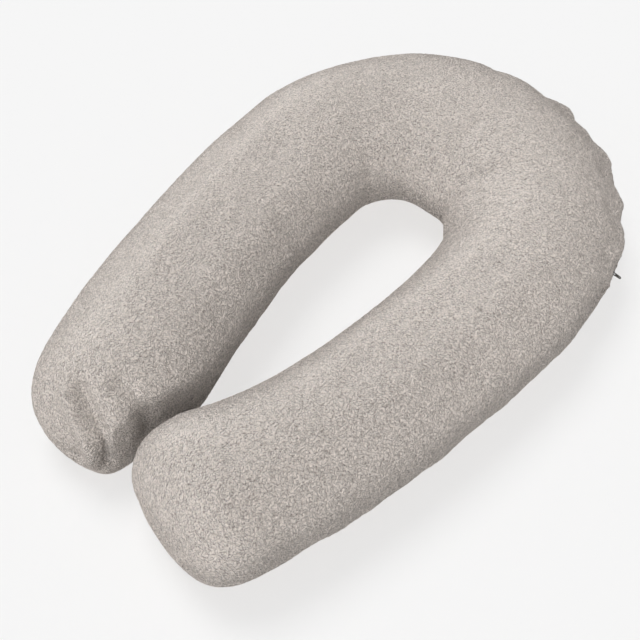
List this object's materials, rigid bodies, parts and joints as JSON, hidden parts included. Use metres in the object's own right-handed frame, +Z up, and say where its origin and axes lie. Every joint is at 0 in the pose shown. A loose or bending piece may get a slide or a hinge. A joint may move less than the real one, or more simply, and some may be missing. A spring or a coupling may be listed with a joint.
{
  "type": "nursing pillow",
  "caption": "U-shaped nursing pillow: fluffy two-panel cover with a zip along the bend's outer seam, over a sewn inner case of loose filling; slider and pull move.",
  "frame": {"origin": "under the middle of the whole pillow, on the surface it lies on", "axes": "+Y from the arm ends towards the bend, +Z up, +X towards the arm that lies nearer the zip pull"},
  "size_m": [0.5998, 0.9238, 0.1629],
  "materials": {
    "boucle_fabric": "curly teddy fleece, matt, warm light grey",
    "case_cotton": "plain cotton weave, matt, off-white",
    "loose_filling": "loose fibre, matt, white",
    "sewing_thread": "twisted polyester, slight sheen",
    "zip_tape": "woven polyester tape, matt",
    "zip_coil": "nylon coil, satin",
    "satin_label": "woven satin, blank",
    "zip_metal": "dark gunmetal plating, satin"
  },
  "bodies": {
    "pillow": {"cover_top_panel": "boucle_fabric", "cover_bottom_panel": "boucle_fabric", "cover_seam_thread": "sewing_thread", "cover_care_label": "satin_label", "inner_case_top_panel": "case_cotton", "inner_case_bottom_panel": "case_cotton", "inner_case_seam_thread": "sewing_thread", "filling": "loose_filling", "zip_tape_upper": "zip_tape", "zip_tape_lower": "zip_tape", "zip_coil_upper": "zip_coil", "zip_coil_lower": "zip_coil", "zip_top_stop_upper": "zip_metal", "zip_top_stop_lower": "zip_metal", "zip_bottom_stop": "zip_metal", "zip_bar_tack_front": "sewing_thread", "zip_bar_tack_back": "sewing_thread", "zip_guard": "case_cotton"},
    "zip_slider": {"zip_slider": "zip_metal"},
    "zip_pull": {"zip_pull_tab": "zip_metal"}
  },
  "joints": [
    {"name": "zip_slide", "type": "hinge", "parent": "pillow", "child": "zip_slider", "pos_m": [-0.00067, 0.16415, 0.0705], "axis": [0, 0, 1], "range_deg": [0, 91]},
    {"name": "pull_swing", "type": "hinge", "parent": "zip_slider", "child": "zip_pull", "pos_m": [0.28317, 0.25638, 0.0705], "axis": [0, 0, 1], "range_deg": [-60, 104]}
  ]
}
